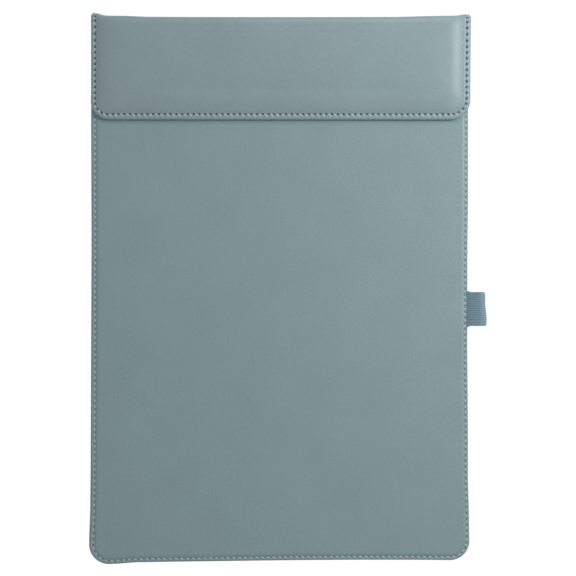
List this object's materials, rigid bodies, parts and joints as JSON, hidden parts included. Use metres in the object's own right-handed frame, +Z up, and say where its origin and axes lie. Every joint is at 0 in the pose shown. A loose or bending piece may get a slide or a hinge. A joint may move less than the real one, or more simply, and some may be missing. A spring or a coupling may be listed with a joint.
{
  "type": "clipboard padfolio",
  "caption": "Flat leatherette-covered writing board for A4 paper, with a padded magnetic flap folding over the top edge and an elastic pen loop at the side.",
  "frame": {"origin": "middle of the board's back face, the face that lies on the desk", "axes": "+Z up out of the writing face, +Y along the board towards the folded spine, +X to the right towards the pen loop"},
  "size_m": [0.2415, 0.332, 0.0088],
  "materials": {
    "leatherette": "cross-grained coated leather, satin",
    "lining": "smooth coated leather, matt",
    "thread": "twisted polyester thread",
    "webbing": "ribbed elastic webbing",
    "fibreboard": "pressed fibreboard, raw",
    "foam": "thin closed-cell foam",
    "steel": "zinc-plated strip",
    "magnet": "nickel-plated"
  },
  "bodies": {
    "board": {"board_core": "fibreboard", "keeper_plate": "steel", "back_cover": "leatherette", "front_cover": "leatherette", "front_stitches": "thread", "back_stitches": "thread", "pen_loop_tails": "webbing"},
    "spine": {"spine_leather": "leatherette", "spine_lining": "lining"},
    "flap": {"flap_lining": "lining", "flap_board": "fibreboard", "flap_magnets": "magnet", "flap_foam": "foam", "flap_leather": "leatherette", "flap_stitches": "thread", "flap_lining_stitches": "thread"},
    "pen_loop": {"pen_loop": "webbing"}
  },
  "joints": [
    {"name": "lower_fold", "type": "hinge", "parent": "board", "child": "spine", "pos_m": [0, 0.1656, 0.0004], "axis": [-1, 0, 0], "range_deg": [0, 90]},
    {"name": "upper_fold", "type": "hinge", "parent": "spine", "child": "flap", "pos_m": [0, 0.1656, 0.0084], "axis": [-1, 0, 0], "range_deg": [0, 90]},
    {"name": "pen_loop_bend", "type": "hinge", "parent": "board", "child": "pen_loop", "pos_m": [0.1163, -0.0127, 0.0016], "axis": [0, -1, 0], "range_deg": [0, 75], "stiffness_Nm_per_rad": 0.003}
  ],
  "couplings": [
    {"joint": "upper_fold", "follows": "lower_fold", "ratio": 1}
  ]
}
